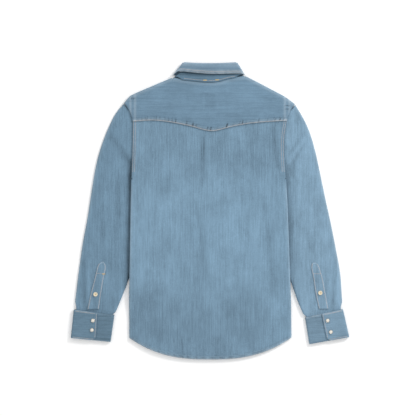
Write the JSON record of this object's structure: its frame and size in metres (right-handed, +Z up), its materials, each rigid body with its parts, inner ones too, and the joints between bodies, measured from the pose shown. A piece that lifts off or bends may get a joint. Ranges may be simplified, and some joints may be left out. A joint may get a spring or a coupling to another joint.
{
  "type": "denim shirt",
  "caption": "Long-sleeved western denim shirt with yoke, collar, snap cuffs and sleeve plackets, buttoned up and laid face down so that its back shows.",
  "frame": {"origin": "centre of the shirt's bounding box, on the surface it rests on", "axes": "+Y from hem to collar, +Z up from the surface through the shirt's thickness, +X towards the wearer's right sleeve, the shirt lying face down"},
  "size_m": [0.7506, 0.8004, 0.0151],
  "materials": {
    "denim": "washed mid-blue twill, dull, paler at worn edges",
    "pearl_snap": "cream pearl cap, glossy",
    "snap_rim": "thin bright metal ring round each pearl cap",
    "button": "cream, soft gloss",
    "thread": "pinkish-ecru sewing thread, faded, and golden thread at the bar tacks"
  },
  "bodies": {
    "root": {"yoke": "denim", "back": "denim", "front_left": "denim", "front_right": "denim", "front_placket": "denim", "collar_stand": "denim", "collar_leaf": "denim", "sleeve_left": "denim", "sleeve_right": "denim", "sleeve_placket_left": "denim", "sleeve_placket_right": "denim", "cuff_left": "denim", "cuff_right": "denim", "front_snap_1": "pearl_snap", "front_snap_2": "pearl_snap", "front_snap_3": "pearl_snap", "front_snap_4": "pearl_snap", "front_snap_5": "pearl_snap", "front_snap_6": "pearl_snap", "collar_snap": "pearl_snap", "cuff_snap_left_1": "pearl_snap", "cuff_snap_left_2": "pearl_snap", "cuff_snap_right_1": "pearl_snap", "cuff_snap_right_2": "pearl_snap", "placket_button_left": "button", "placket_button_right": "button"}
  },
  "joints": []
}
